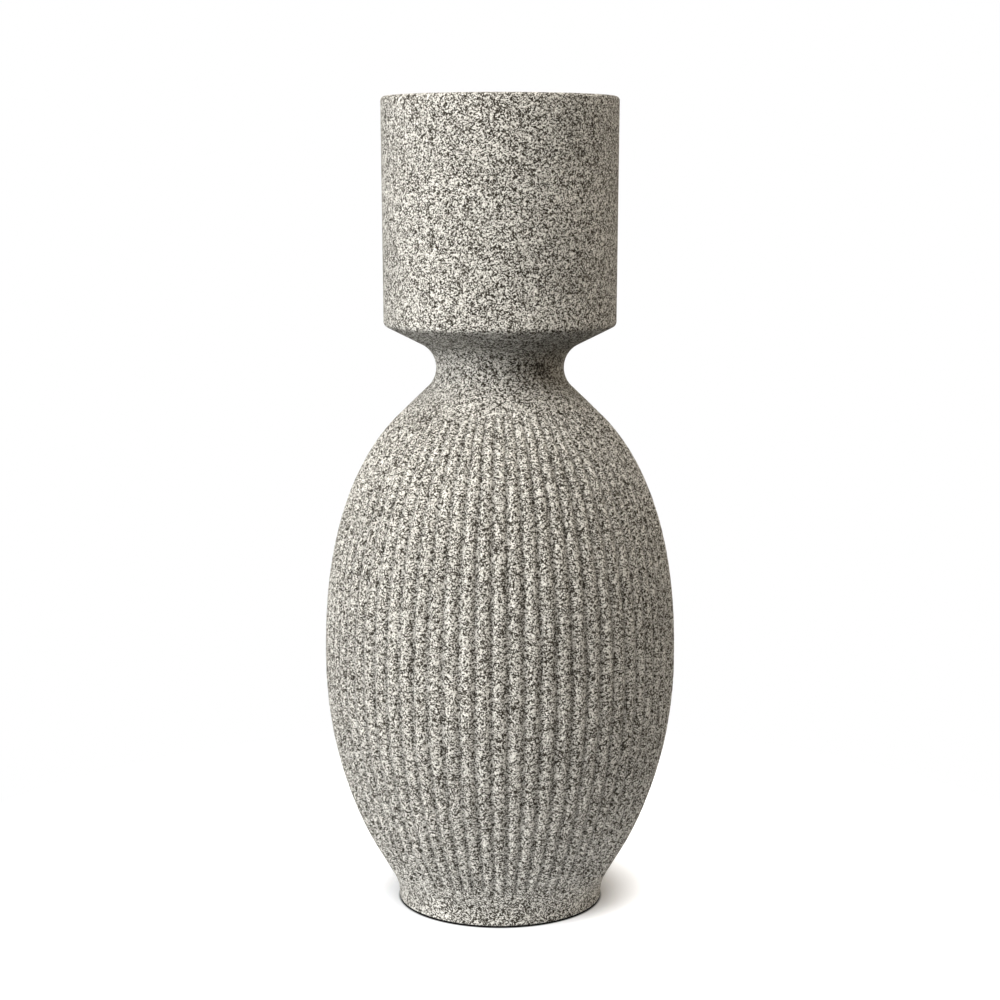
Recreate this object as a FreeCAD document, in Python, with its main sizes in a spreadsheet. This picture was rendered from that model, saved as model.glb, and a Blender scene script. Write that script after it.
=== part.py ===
import FreeCAD, Part
import math
import os

import Sketcher

# Urn vase of speckled stoneware, made in sections that are luted together.
# Millimetres, +Z up. The origin is the middle of the foot, on the surface the vase stands on.
# A crest of the reeding faces the front, which is -Y.

os.makedirs("parts", exist_ok=True)
doc = FreeCAD.newDocument("UrnVase")
sheet = doc.addObject("Spreadsheet::Sheet", "Sizes")

# Driving sizes. Heights are measured from the surface that the vase stands on.
DRIVING = {
    "total_height": 600,
    # felt ring under the foot
    "felt_thickness": 1.2,
    "felt_width": 9,
    "felt_inset": 2.5,
    # foot ring and the floor slab on its ledge
    "foot_radius": 76.6,
    "foot_width": 15,
    "foot_seam_height": 14,
    "slab_height": 6,
    "slab_thickness": 9,
    # outline of the body, over the crests of the reeds, with leans in degrees from upright
    "flare_start_height": 3.12,
    "foot_flare_radius": 36,
    "flare_lean": 31.4,
    "flare_top_height": 38,
    "belly_radius": 131,
    "belly_height": 187,
    "shoulder_rise": 182,
    "shoulder_length": 30,
    "shoulder_lean": 46.46,
    "body_wall": 8,
    # reeding
    "reed_count": 70,
    "reed_depth": 1.5,
    "reed_foot_height": 19,
    "reed_foot_fade": 16,
    "reed_top_rise": 10,
    "reed_top_fade": 16,
    # neck and drum
    "collar_seam_rise": 11,
    "neck_radius": 47.1,
    "neck_arc_radius": 19.4,
    "neck_wall": 7.5,
    "drum_radius": 86.6,
    "drum_draft": 1,
    "drum_corner_rise": 31.3,
    "drum_corner_round": 4.5,
    "drum_seam_rise": 10,
    "drum_wall": 7,
    "drum_key_depth": 1,
    "rim_round": 3,
    # lap joints between the sections
    "lap_height": 6,
    "collar_lap_height": 3,
    "lap_gap": 0.3,
    # coils pressed over the seams inside
    "foot_coil_size": 14,
    "belly_coil_height": 20,
    "belly_coil_thickness": 5,
    "belly_coil_gap": 0.2,
    "drum_coil_size": 14,
    "coil_gap": 0.4,
    # how far a cutting shape runs past what it cuts
    "overrun": 2,
}

# Sizes worked out from the driving ones, as formulas of the sheet.
# A slope is radius per height, and a stretch is length per height. The foot flare is an arc that rises
# straight up from the foot and runs on as a straight flare. The neck is one arc, tangent to the straight
# shoulder below it and to the drum's underside above. Between flare and shoulder, the body is two
# quarters of a rounded ellipse that meet at the belly. Each is as full as it needs to be to run smoothly
# into its straight stretch, and its reach is the height from the belly at which it would close.
DERIVED = {
    "flare_slope": "tan(flare_lean)",
    "flare_stretch": "1 / cos(flare_lean)",
    "flare_arc_end": "flare_start_height + foot_flare_radius * sin(flare_lean)",
    "flare_top_radius": "foot_radius + foot_flare_radius * (1 - cos(flare_lean))"
                        " + (flare_top_height - flare_arc_end) * flare_slope",
    "lower_height": "belly_height - flare_top_height",
    "lower_ratio": "flare_top_radius / belly_radius",
    "lower_fullness": "1 - log(lower_ratio + flare_slope * lower_height / belly_radius)"
                      " / log(lower_ratio)",
    "lower_reach": "lower_height / (1 - lower_ratio ^ lower_fullness) ^ (1 / lower_fullness)",
    "shoulder_height": "belly_height + shoulder_rise",
    "shoulder_slope": "tan(shoulder_lean)",
    "shoulder_stretch": "1 / cos(shoulder_lean)",
    "throat_centre": "neck_radius + neck_arc_radius",
    "collar_arc_radius": "throat_centre - neck_arc_radius * cos(shoulder_lean)",
    "collar_arc_height": "shoulder_height + shoulder_length * cos(shoulder_lean)",
    "throat_height": "collar_arc_height + neck_arc_radius * sin(shoulder_lean)",
    "shoulder_radius": "collar_arc_radius + shoulder_length * sin(shoulder_lean)",
    "upper_ratio": "shoulder_radius / belly_radius",
    "upper_fullness": "1 - log(upper_ratio + shoulder_slope * shoulder_rise / belly_radius)"
                      " / log(upper_ratio)",
    "upper_reach": "shoulder_rise / (1 - upper_ratio ^ upper_fullness) ^ (1 / upper_fullness)",
    "reed_top_height": "shoulder_height + reed_top_rise",
    "foot_seam_radius": "foot_radius + foot_flare_radius"
                        " - sqrt(foot_flare_radius ^ 2 - (foot_seam_height - flare_start_height) ^ 2)",
    "foot_inner_radius": "foot_radius - foot_width",
    "pocket_radius": "foot_radius - body_wall",
    "foot_lap_radius": "foot_radius - body_wall / 2",
    "slab_top_height": "slab_height + slab_thickness",
    "foot_lap_top": "foot_seam_height + lap_height",
    "belly_lap_radius": "belly_radius - body_wall / 2 - reed_depth / 2",
    "collar_seam_height": "shoulder_height + collar_seam_rise",
    "collar_seam_radius": "shoulder_radius - collar_seam_rise * shoulder_slope",
    "collar_lap_radius": "collar_seam_radius"
                         " - (body_wall * shoulder_stretch + collar_lap_height * shoulder_slope) / 2",
    "collar_lap_top": "collar_seam_height + collar_lap_height",
    "collar_ledge_height": "collar_lap_top + lap_gap",
    "throat_lap_radius": "neck_radius - neck_wall / 2",
    "throat_lap_top": "throat_height + lap_height",
    "bore_arc_radius": "neck_arc_radius + neck_wall",
    "throat_lap_bore": "throat_centre - sqrt(bore_arc_radius ^ 2 - lap_height ^ 2)",
    "throat_ledge_height": "throat_lap_top + lap_gap",
    "throat_ledge_bore": "throat_centre - sqrt(bore_arc_radius ^ 2 - (lap_height + lap_gap) ^ 2)",
    "collar_ledge_bore": "throat_centre"
                         " - sqrt(bore_arc_radius ^ 2 - (throat_height - collar_ledge_height) ^ 2)",
    "drum_foot_radius": "drum_radius - drum_draft",
    "drum_corner_height": "throat_height + drum_corner_rise",
    "corner_out": "drum_foot_radius - throat_centre",
    "corner_reach": "sqrt(corner_out ^ 2 + drum_corner_rise ^ 2)",
    "corner_tangent": "sqrt(corner_reach ^ 2 - neck_arc_radius ^ 2)",
    "underside_out": "(corner_tangent * corner_out + neck_arc_radius * drum_corner_rise)"
                     " / corner_reach ^ 2",
    "underside_up": "(corner_tangent * drum_corner_rise - neck_arc_radius * corner_out)"
                    " / corner_reach ^ 2",
    "underside_start_radius": "throat_centre - neck_arc_radius * underside_up",
    "underside_start_height": "throat_height + neck_arc_radius * underside_out",
    "corner_trim": "drum_corner_round * underside_out / (1 + underside_up)",
    "underside_end_radius": "drum_foot_radius - corner_trim * underside_out",
    "underside_end_height": "drum_corner_height - corner_trim * underside_up",
    "corner_top_height": "drum_corner_height + corner_trim",
    "drum_seam_height": "drum_corner_height + drum_seam_rise",
    "drum_lap_radius": "drum_foot_radius - drum_wall / 2",
    "drum_lap_top": "drum_seam_height + lap_height",
    "drum_bore": "drum_foot_radius - drum_wall",
    "drum_key_radius": "drum_bore + drum_key_depth",
    "floor_start_radius": "throat_centre - bore_arc_radius * underside_up",
    "floor_start_height": "throat_height + bore_arc_radius * underside_out",
    "floor_edge_height": "floor_start_height + (drum_key_radius - floor_start_radius)"
                         " * underside_up / underside_out",
    "rim_outer_radius": "drum_radius - rim_round",
    "rim_inner_radius": "drum_bore + rim_round",
    "rim_start_height": "total_height - rim_round",
    "lower_inner_slope": "(flare_top_radius - body_wall * flare_stretch - pocket_radius)"
                         " / (flare_top_height - foot_lap_top - lap_gap)",
    "foot_coil_top": "slab_top_height + foot_coil_size",
    "foot_coil_radius": "pocket_radius - coil_gap",
    "foot_coil_edge": "foot_coil_radius"
                      " + (foot_coil_top - foot_lap_top - lap_gap) * lower_inner_slope",
    "foot_coil_arc": "foot_coil_size * 3.5",
    "belly_coil_lower_crest": "belly_radius * (1 - (belly_coil_height / 2 / lower_reach)"
                              " ^ lower_fullness) ^ (1 / lower_fullness)",
    "belly_coil_upper_crest": "belly_radius * (1 - (belly_coil_height / 2 / upper_reach)"
                              " ^ upper_fullness) ^ (1 / upper_fullness)",
    "belly_coil_radius": "min(belly_coil_lower_crest; belly_coil_upper_crest)"
                         " - body_wall - belly_coil_gap",
    "belly_coil_arc": "(belly_coil_height ^ 2 / 4 + belly_coil_thickness ^ 2)"
                      " / (2 * belly_coil_thickness)",
    "belly_coil_foot": "belly_height - belly_coil_height / 2",
    "belly_coil_top": "belly_height + belly_coil_height / 2",
    "drum_coil_radius": "drum_key_radius - coil_gap",
    "drum_coil_floor": "floor_edge_height + coil_gap * (1 - underside_up) / underside_out",
    "drum_coil_toe_radius": "drum_coil_radius - drum_coil_size * underside_out",
    "drum_coil_toe_height": "drum_coil_floor - drum_coil_size * underside_up",
    "drum_coil_top": "drum_coil_floor + drum_coil_size",
    "drum_key_top": "drum_coil_top + coil_gap",
    "drum_coil_arc": "drum_coil_size * 2.2",
}

row = 0
for name, amount in DRIVING.items():
    row += 1
    sheet.set("A" + str(row), name)
    sheet.set("B" + str(row), str(amount))
    sheet.setAlias("B" + str(row), name)
doc.recompute()
for name, formula in DERIVED.items():
    row += 1
    sheet.set("A" + str(row), name)
    sheet.set("B" + str(row), "=" + formula)
    sheet.setAlias("B" + str(row), name)
    doc.recompute()
size = {name: float(sheet.get(name)) for name in list(DRIVING) + list(DERIVED)}


def amount_of(words):
    """Value of a plain sum of sheet names, such as "lap_top + lap_gap"."""
    total = 0
    sign = 1
    for word in words.split():
        if word in ("+", "-"):
            sign = 1 if word == "+" else -1
        else:
            total += sign * size[word]
    return total


def bound(words):
    """The same sum as an expression that follows the sheet."""
    return " ".join(word if word in ("+", "-") else "Sizes." + word for word in words.split())


def arc_middle(start, end, radius, side):
    """Middle of the short arc from start to end; side 1 bulges to the left of the way, -1 to the right."""
    across = end - start
    half = across.Length / 2
    rise = radius - math.sqrt(radius * radius - half * half)
    left = FreeCAD.Vector(-across.y, across.x, 0).normalize()
    return (start + end) / 2 + left * (rise * side)


def end_at(sketch, edge, corner):
    """Which end of an edge lies at a corner: 1 for its start, 2 for its end."""
    to_start = (sketch.getPoint(edge, 1) - corner).Length
    to_end = (sketch.getPoint(edge, 2) - corner).Length
    return 1 if to_start < to_end else 2


def turned_piece(label, corners):
    """A ring turned about the axis. Each corner is a radius and a height, as sums of sheet names. Where
    the edge to the next corner is an arc, its radius and the side that it bulges to follow."""
    body = doc.addObject("PartDesign::Body", label)
    body.Label = label
    sketch = body.newObject("Sketcher::SketchObject", label + "_outline")
    upright = [plane for plane in body.Origin.OriginFeatures if plane.Role == "XZ_Plane"]
    sketch.AttachmentSupport = [(upright[0], "")]
    sketch.MapMode = "FlatFace"
    points = [FreeCAD.Vector(amount_of(corner[0]), amount_of(corner[1]), 0) for corner in corners]
    for edge, corner in enumerate(corners):
        start = points[edge]
        end = points[(edge + 1) % len(points)]
        if len(corner) > 2:
            middle = arc_middle(start, end, amount_of(corner[2]), corner[3])
            sketch.addGeometry(Part.Arc(start, middle, end))
        else:
            sketch.addGeometry(Part.LineSegment(start, end))
    for edge, corner in enumerate(corners):
        near = end_at(sketch, edge, points[edge])
        for direction, words in (("DistanceX", corner[0]), ("DistanceY", corner[1])):
            rule = sketch.addConstraint(Sketcher.Constraint(direction, -1, 1, edge, near, amount_of(words)))
            sketch.setExpression("Constraints[%d]" % rule, bound(words))
        before = (edge - 1) % len(corners)
        far = end_at(sketch, before, points[edge])
        sketch.addConstraint(Sketcher.Constraint("Coincident", before, far, edge, near))
        if len(corner) > 2:
            rule = sketch.addConstraint(Sketcher.Constraint("Radius", edge, amount_of(corner[2])))
            sketch.setExpression("Constraints[%d]" % rule, bound(corner[2]))
    turned = body.newObject("PartDesign::Revolution", label + "_turned")
    turned.Profile = sketch
    turned.ReferenceAxis = (sketch, ["V_Axis"])
    turned.Angle = 360
    body.Tip = turned
    return body


def disc(label, radius, foot, top):
    """A plain round disc between two heights, given as sums of sheet names. With no foot it starts at the
    surface that the vase stands on."""
    piece = doc.addObject("Part::Cylinder", label)
    piece.Label = label
    piece.setExpression("Radius", bound(radius))
    if foot is None:
        piece.setExpression("Height", bound(top))
    else:
        piece.setExpression("Height", bound(top) + " - (" + bound(foot) + ")")
        piece.setExpression("Placement.Base.z", bound(foot))
    return piece


def joined(label, pieces):
    """Solids made one."""
    piece = doc.addObject("Part::MultiFuse", label)
    piece.Label = label
    piece.Shapes = pieces
    return piece


def cut_away(label, base, tool):
    """A solid less another."""
    piece = doc.addObject("Part::Cut", label)
    piece.Label = label
    piece.Base = base
    piece.Tool = tool
    return piece


def quarter(height):
    """Which rounded quarter of the body a height is in, as its reach and its fullness."""
    half = "lower" if height < size["belly_height"] else "upper"
    return size[half + "_reach"], size[half + "_fullness"]


def crest_radius(height):
    """Outline of the body over the crests of the reeds, from the foot flare to the shoulder."""
    if height < size["flare_arc_end"]:
        rise = max(height - size["flare_start_height"], 0)
        flare = size["foot_flare_radius"]
        return size["foot_radius"] + flare - math.sqrt(flare * flare - rise * rise)
    if height < size["flare_top_height"]:
        return size["flare_top_radius"] - (size["flare_top_height"] - height) * size["flare_slope"]
    if height > size["shoulder_height"]:
        return size["shoulder_radius"] - (height - size["shoulder_height"]) * size["shoulder_slope"]
    reach, fullness = quarter(height)
    share = abs(height - size["belly_height"]) / reach
    return size["belly_radius"] * (1 - share ** fullness) ** (1 / fullness)


def crest_lean(height):
    """How much the outline leans from upright, as radius per height, above the foot flare."""
    if height > size["shoulder_height"]:
        return size["shoulder_slope"]
    reach, fullness = quarter(height)
    share = abs(height - size["belly_height"]) / reach
    steepness = share ** (fullness - 1) * (1 - share ** fullness) ** (1 / fullness - 1)
    return size["belly_radius"] / reach * steepness


def bore_radius(height):
    """Inside of the body: the outline moved in by the wall, square to the outline. Down in the foot it
    runs straight in to the pocket of the floor slab."""
    ledge = size["foot_lap_top"] + size["lap_gap"]
    if height < size["flare_top_height"]:
        return size["pocket_radius"] + (height - ledge) * size["lower_inner_slope"]
    return crest_radius(height) - size["body_wall"] * math.hypot(1, crest_lean(height))


def reed_depth(height):
    """Depth of the valleys between the reeds, which fade out above the foot and on the shoulder."""
    from_foot = (height - size["reed_foot_height"]) / size["reed_foot_fade"]
    from_top = (size["reed_top_height"] - height) / size["reed_top_fade"]
    share = max(0, min(1, from_foot, from_top))
    return size["reed_depth"] * share * share * (3 - 2 * share)


def reeded_section(height):
    """One level section of the body: convex reeds side by side, meeting in valleys."""
    count = int(size["reed_count"])
    crest = crest_radius(height)
    valley = crest - reed_depth(height)
    front = -math.pi / 2

    def spot(radius, turn):
        angle = front + 2 * math.pi * turn / count
        return FreeCAD.Vector(radius * math.cos(angle), radius * math.sin(angle), height)

    edges = []
    for reed in range(count):
        arc = Part.Arc(spot(valley, reed - 1 / 2), spot(crest, reed), spot(valley, reed + 1 / 2))
        edges.append(arc.toShape())
    return Part.Wire(edges)


def round_section(height):
    """One level section of the hollow inside the body."""
    centre = FreeCAD.Vector(0, 0, height)
    up = FreeCAD.Vector(0, 0, 1)
    return Part.Wire([Part.Circle(centre, up, bore_radius(height)).toShape()])


# A higher degree than this one swings in and out between the sections.
LOFT_DEGREE = 3


def lofted(label, section, foot, top, shares):
    """A solid through level sections at shares of the way from foot to top."""
    piece = doc.addObject("Part::Feature", label)
    piece.Label = label
    sections = [section(foot + share * (top - foot)) for share in shares]
    piece.Shape = Part.makeLoft(sections, True, False, False, LOFT_DEGREE)
    return piece


# Felt ring glued under the foot, set back from the foot's edge.
felt_disc = disc("felt_disc", "foot_radius - felt_inset", None, "felt_thickness")
felt_hole = disc("felt_hole", "foot_radius - felt_inset - felt_width", "- overrun",
                 "felt_thickness + overrun")
cut_away("felt_ring", felt_disc, felt_hole)

# Turned foot ring: concave flare outside, ledge for the floor slab, tongue for the lower body.
turned_piece("foot_ring", [
    ("foot_inner_radius", "felt_thickness"),
    ("foot_radius", "felt_thickness"),
    ("foot_radius", "flare_start_height", "foot_flare_radius", 1),
    ("foot_seam_radius", "foot_seam_height"),
    ("foot_lap_radius", "foot_seam_height"),
    ("foot_lap_radius", "foot_lap_top"),
    ("pocket_radius", "foot_lap_top"),
    ("pocket_radius", "slab_height"),
    ("foot_inner_radius", "slab_height"),
])

# Floor slab lying on the ledge of the foot ring.
disc("base_slab", "pocket_radius - lap_gap", "slab_height", "slab_top_height")

# Clay coil pressed into the corner between the slab and the wall, over the foot seam.
turned_piece("foot_coil", [
    ("foot_coil_radius - foot_coil_size", "slab_top_height"),
    ("foot_coil_radius", "slab_top_height"),
    ("foot_coil_radius", "foot_lap_top + lap_gap"),
    ("foot_coil_edge", "foot_coil_top", "foot_coil_arc", 1),
])

# Reeded lower shell, from the foot seam to the belly, with a rebate below and a tongue on top.
LOWER_SHARES = (0, 0.02, 0.045, 0.07, 0.1, 0.14, 0.19, 0.26, 0.36, 0.5, 0.66, 0.83, 1)
LOWER_HOLLOW_SHARES = (0, 0.03, 0.06, 0.09, 0.12, 0.16, 0.22, 0.31, 0.44, 0.6, 0.76, 0.87, 0.94, 1)
lower_blank = lofted("lower_blank", reeded_section, size["foot_seam_height"], size["belly_height"],
                     LOWER_SHARES)
belly_tongue = disc("belly_tongue", "belly_lap_radius", "belly_height - lap_height",
                    "belly_height + lap_height")
lower_solid = joined("lower_solid", [lower_blank, belly_tongue])
foot_rebate = disc("foot_rebate", "foot_lap_radius + lap_gap", "foot_seam_height - overrun",
                   "foot_lap_top + lap_gap")
lower_rebated = cut_away("lower_rebated", lower_solid, foot_rebate)
lower_hollow = lofted("lower_hollow", round_section, size["foot_lap_top"] + size["lap_gap"],
                      size["belly_height"] + size["lap_height"] + size["overrun"], LOWER_HOLLOW_SHARES)
cut_away("lower_body", lower_rebated, lower_hollow)

# Clay coil pressed over the belly seam, inside.
turned_piece("belly_coil", [
    ("belly_coil_radius", "belly_coil_foot"),
    ("belly_coil_radius", "belly_coil_top", "belly_coil_arc", -1),
])

# Reeded upper shell, from the belly to the shoulder, with a rebate below and a tongue on top.
UPPER_SHARES = (0, 0.17, 0.34, 0.5, 0.64, 0.75, 0.83, 0.885, 0.915, 0.945, 0.97, 0.985, 1)
UPPER_HOLLOW_SHARES = (0, 0.04, 0.09, 0.16, 0.28, 0.42, 0.56, 0.69, 0.79, 0.86, 0.91, 0.95, 0.98, 1)
upper_blank = lofted("upper_blank", reeded_section, size["belly_height"], size["collar_seam_height"],
                     UPPER_SHARES)
collar_tongue = disc("collar_tongue", "collar_lap_radius", "collar_seam_height - collar_lap_height",
                     "collar_lap_top")
upper_solid = joined("upper_solid", [upper_blank, collar_tongue])
belly_rebate = disc("belly_rebate", "belly_lap_radius + lap_gap", "belly_height - overrun",
                    "belly_height + lap_height + lap_gap")
upper_rebated = cut_away("upper_rebated", upper_solid, belly_rebate)
upper_hollow = lofted("upper_hollow", round_section, size["belly_height"],
                      size["collar_lap_top"] + size["overrun"], UPPER_HOLLOW_SHARES)
cut_away("upper_body", upper_rebated, upper_hollow)

# Plain lower half of the neck, from the shoulder to the throat, with a tongue at the throat.
turned_piece("neck_collar", [
    ("collar_lap_radius + lap_gap", "collar_seam_height"),
    ("collar_seam_radius", "collar_seam_height"),
    ("collar_arc_radius", "collar_arc_height", "neck_arc_radius", 1),
    ("neck_radius", "throat_height"),
    ("throat_lap_radius", "throat_height"),
    ("throat_lap_radius", "throat_lap_top"),
    ("throat_lap_bore", "throat_lap_top", "bore_arc_radius", -1),
    ("collar_ledge_bore", "collar_ledge_height"),
    ("collar_lap_radius + lap_gap", "collar_ledge_height"),
])

# Upper half of the neck and the flared underside of the drum, with a tongue for the drum wall.
turned_piece("drum_floor", [
    ("throat_lap_radius + lap_gap", "throat_height"),
    ("neck_radius", "throat_height", "neck_arc_radius", 1),
    ("underside_start_radius", "underside_start_height"),
    ("underside_end_radius", "underside_end_height", "drum_corner_round", -1),
    ("drum_foot_radius", "corner_top_height"),
    ("drum_foot_radius", "drum_seam_height"),
    ("drum_lap_radius", "drum_seam_height"),
    ("drum_lap_radius", "drum_lap_top"),
    ("drum_key_radius", "drum_lap_top"),
    ("drum_key_radius", "floor_edge_height"),
    ("floor_start_radius", "floor_start_height", "bore_arc_radius", -1),
    ("throat_ledge_bore", "throat_ledge_height"),
    ("throat_lap_radius + lap_gap", "throat_ledge_height"),
])

# Clay coil in the corner between the drum's floor and its wall, over the drum seam.
turned_piece("drum_coil", [
    ("drum_coil_toe_radius", "drum_coil_toe_height"),
    ("drum_coil_radius", "drum_coil_floor"),
    ("drum_coil_radius", "drum_coil_top", "drum_coil_arc", 1),
])

# Plain drum wall with a rounded rim, scraped back a little inside where the coil is pressed in.
turned_piece("drum_wall", [
    ("drum_lap_radius + lap_gap", "drum_seam_height"),
    ("drum_foot_radius", "drum_seam_height"),
    ("drum_radius", "rim_start_height", "rim_round", -1),
    ("rim_outer_radius", "total_height"),
    ("rim_inner_radius", "total_height", "rim_round", -1),
    ("drum_bore", "rim_start_height"),
    ("drum_bore", "drum_key_top"),
    ("drum_key_radius", "drum_key_top"),
    ("drum_key_radius", "drum_lap_top + lap_gap"),
    ("drum_lap_radius + lap_gap", "drum_lap_top + lap_gap"),
])

doc.recompute()

NODES = ("felt_ring", "foot_ring", "base_slab", "foot_coil", "lower_body", "belly_coil", "upper_body",
         "neck_collar", "drum_floor", "drum_coil", "drum_wall")
for piece in doc.Objects:
    if "Invalid" in piece.State or "Error" in piece.State:
        raise RuntimeError(piece.Label + " did not rebuild: " + str(piece.State))
for node in NODES:
    shape = doc.getObjectsByLabel(node)[0].Shape
    if shape.isNull() or not shape.isValid() or len(shape.Solids) != 1:
        raise RuntimeError(node + " is not one sound solid")
    print(node, "volume", round(shape.Volume), "faces", len(shape.Faces))
for node in NODES:
    doc.getObjectsByLabel(node)[0].Shape.exportStep("parts/" + node + ".step")
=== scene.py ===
# %% [markdown]
# # An urn vase in speckled stoneware
#
# The vase is about 60 cm tall: an egg-shaped body with 70 upright reeds, a small plain foot, a narrow neck
# and a wide plain drum for the flowers. It is thrown in sections that are luted together, and one matt
# granite glaze covers them all, so no seam shows outside.
#
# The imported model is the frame. It gives the place of every section, and each section that shows is turned
# again here with a finer skin, in the same place.

# %% Load the frame
import math

import bpy
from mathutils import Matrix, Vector


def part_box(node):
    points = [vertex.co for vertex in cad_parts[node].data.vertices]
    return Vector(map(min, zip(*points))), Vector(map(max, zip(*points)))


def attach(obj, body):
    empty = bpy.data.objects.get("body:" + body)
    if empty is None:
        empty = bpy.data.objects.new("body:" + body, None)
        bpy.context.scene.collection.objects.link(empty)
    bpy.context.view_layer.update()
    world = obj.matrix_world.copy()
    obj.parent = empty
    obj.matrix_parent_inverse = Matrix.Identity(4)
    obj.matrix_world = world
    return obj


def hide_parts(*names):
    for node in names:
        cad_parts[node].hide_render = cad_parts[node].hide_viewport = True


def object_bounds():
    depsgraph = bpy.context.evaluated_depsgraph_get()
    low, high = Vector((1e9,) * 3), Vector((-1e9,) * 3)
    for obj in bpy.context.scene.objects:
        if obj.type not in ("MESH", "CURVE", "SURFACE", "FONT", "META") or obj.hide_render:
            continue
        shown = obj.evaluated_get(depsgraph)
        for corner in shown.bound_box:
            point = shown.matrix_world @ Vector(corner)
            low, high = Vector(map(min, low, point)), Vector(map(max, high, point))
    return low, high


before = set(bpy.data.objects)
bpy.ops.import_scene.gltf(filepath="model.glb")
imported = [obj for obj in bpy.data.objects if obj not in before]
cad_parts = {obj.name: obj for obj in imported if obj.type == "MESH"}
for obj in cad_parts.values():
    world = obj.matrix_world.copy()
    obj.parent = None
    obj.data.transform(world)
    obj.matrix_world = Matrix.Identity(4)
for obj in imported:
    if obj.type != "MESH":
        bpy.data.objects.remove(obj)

MM = 0.001
cad_low, cad_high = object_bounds()
print("nodes in the frame:", ", ".join(sorted(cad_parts)))
print("box of the model in mm:", [round(side / MM) for side in cad_high - cad_low])

# %% [markdown]
# ## Helpers
#
# Five small helpers serve the whole scene. Colours are given as sRGB hex values, but shaders work
# in linear light, so `linear` turns them. Node trees are easier to read when one call adds a node with its
# settings and its links, and when a sum reads as a sum: `add_node`, `maths` and `spread` see to that. And
# every finished mesh is hung into the frame in the same way.

# %% Helpers


def linear(hex_colour):
    """An sRGB hex colour as linear red, green, blue and full alpha."""
    channels = [int(hex_colour[at:at + 2], 16) / 255 for at in (0, 2, 4)]
    return [c / 12.92 if c <= 0.04045 else ((c + 0.055) / 1.055) ** 2.4 for c in channels] + [1]


def add_node(tree, kind, links=None, **settings):
    """Add a node to a tree. An entry of links is an input with the socket or the value that it gets."""
    node = tree.nodes.new(kind)
    for name, value in settings.items():
        setattr(node, name, value)
    for place, source in (links or {}).items():
        if isinstance(source, bpy.types.NodeSocket):
            tree.links.new(source, node.inputs[place])
        else:
            node.inputs[place].default_value = source
    return node


def maths(tree, operation, *values):
    """Result of one sum in a tree, out of sockets and numbers."""
    return add_node(tree, "ShaderNodeMath", dict(enumerate(values)), operation=operation).outputs[0]


def spread(tree, value, low, high, to_low=0, to_high=1, **settings):
    """A value moved from one range into another, and kept inside it unless clamp is off."""
    ranges = {"Value": value, 1: low, 2: high, 3: to_low, 4: to_high}
    return add_node(tree, "ShaderNodeMapRange", ranges, **settings).outputs[0]


def fit_into_frame(piece, slot, *nodes):
    """Let a finished piece stand for its nodes and move with the vase. The slot is not used."""
    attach(piece, "root")
    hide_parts(*nodes)
    print(piece.name, "has", len(piece.data.vertices), "points and", len(piece.data.polygons), "faces")


# %% [markdown]
# ## Camera
#
# The photograph looks slightly down from just below the rim. The foot and the drum's lower edge show as
# ellipses, and their widths against their heights give the tilt. The long lens keeps the sides upright.

# %% Camera
EYE = Vector((0, -1.56, 0.5419))
TILT_FROM_DOWN = math.radians(81.35)
LENS = 76.28
SENSOR_WIDTH = 36
VASE_MIDDLE = (0, 0, 0.3)

camera = bpy.data.objects.new("camera", bpy.data.cameras.new("camera"))
camera.data.lens = LENS
camera.data.sensor_width = SENSOR_WIDTH
camera.location = EYE
camera.rotation_euler = (TILT_FROM_DOWN, 0, 0)
bpy.context.scene.collection.objects.link(camera)
bpy.context.scene.camera = camera
print("camera", round(math.dist(EYE, VASE_MIDDLE), 2), "m from the vase, lens", LENS, "mm")

# %% [markdown]
# ## The outline
#
# A potter shapes a turned vessel with one profile. Here it is a chain of lines and arcs, in millimetres:
# radius from the axis and height above the table. The body between the flare of the foot and the straight
# shoulder is two quarters of a rounded ellipse that meet at the belly. Each quarter is just as full as it
# has to be to run into its straight neighbour without a kink.
#
# The heights of the seams and the largest radii are read from the frame. Leans are angles from upright.
# A point of the outline that comes closer to a seam than the room there is left out, so that no row of
# points is squeezed.

# %% Sizes from the frame
foot_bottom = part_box("foot_ring")[0].z / MM
foot_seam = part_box("lower_body")[0].z / MM
belly_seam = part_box("upper_body")[0].z / MM
collar_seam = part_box("neck_collar")[0].z / MM
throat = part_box("drum_floor")[0].z / MM
drum_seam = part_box("drum_wall")[0].z / MM
rim = cad_high.z / MM
belly_radius = -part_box("upper_body")[0].y / MM
drum_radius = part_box("drum_wall")[1].x / MM
print("seams at", [round(z, 1) for z in (foot_seam, belly_seam, collar_seam, throat, drum_seam)], "mm")

# %% Sizes of the outline
FOOT_RADIUS = 76.6
FOOT_EDGE = 0.8
FLARE_START = 3.12
FLARE_ARC = 36
FLARE_LEAN = math.radians(31.4)
FLARE_TOP = 38
SHOULDER = 369
SHOULDER_LEAN = math.radians(46.46)
NECK_RADIUS = 47.1
NECK_ARC = 19.4
DRUM_FOOT_RADIUS = 85.6
DRUM_CORNER = 435.03
CORNER_ROUND = 4.5
RIM_ROUND = 3
DRUM_BORE = 78.6
SEAM_ROOM = 0.5
FOOT_SEAM_ROOM = 0.3
INSIDE_ROOM = 2

# %% Drawing aids


def arc(centre, radius, start, end, steps):
    """Points along an arc, with its angles in degrees from straight outwards, upwards counted positive."""
    turns = [math.radians(start + (end - start) * step / steps) for step in range(steps + 1)]
    return [(centre[0] + radius * math.cos(a), centre[1] + radius * math.sin(a)) for a in turns]


def line(start, end, steps):
    """Evenly spaced points from one point to another."""
    shares = [step / steps for step in range(steps + 1)]
    return [(start[0] + (end[0] - start[0]) * s, start[1] + (end[1] - start[1]) * s) for s in shares]


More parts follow.
